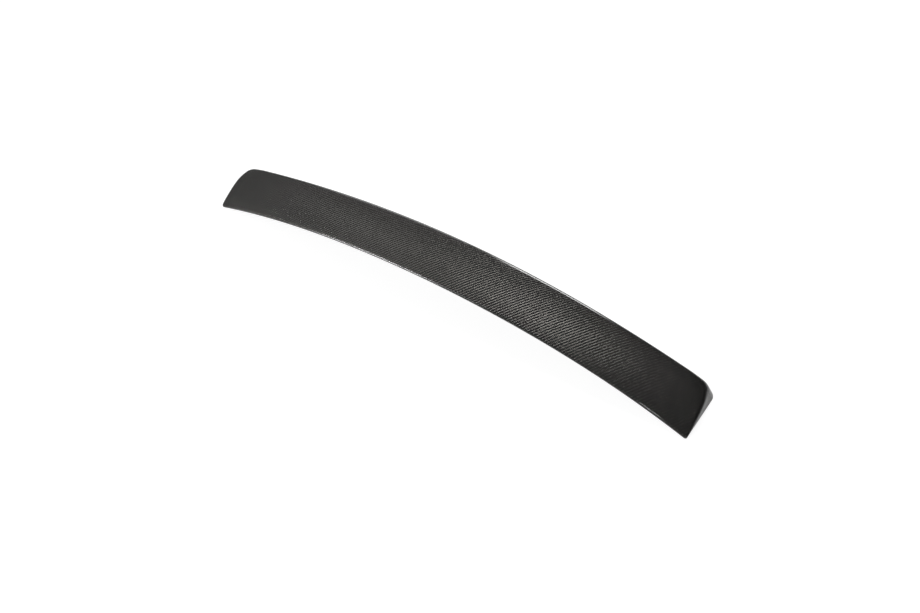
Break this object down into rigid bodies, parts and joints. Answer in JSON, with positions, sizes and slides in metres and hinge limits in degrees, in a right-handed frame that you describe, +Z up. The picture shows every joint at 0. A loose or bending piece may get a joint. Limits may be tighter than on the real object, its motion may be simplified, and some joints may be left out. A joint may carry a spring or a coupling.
{
  "type": "car rear roof spoiler",
  "caption": "Arched wedge-section rear roof spoiler: a thin carbon laminate shell with a rounded trailing edge, leaning end walls and a turned-in bonding flange.",
  "frame": {"origin": "on the ground under the middle of the part's box, as it stands on the feet of its two ends", "axes": "+X along the span, +Y from the leading edge to the trailing edge, +Z up"},
  "size_m": [1.1674, 0.1535, 0.0788],
  "materials": {
    "carbon_laminate": "2x2 carbon twill under a glossy clear coat"
  },
  "bodies": {
    "root": {"spoiler_shell": "carbon_laminate"}
  },
  "joints": []
}
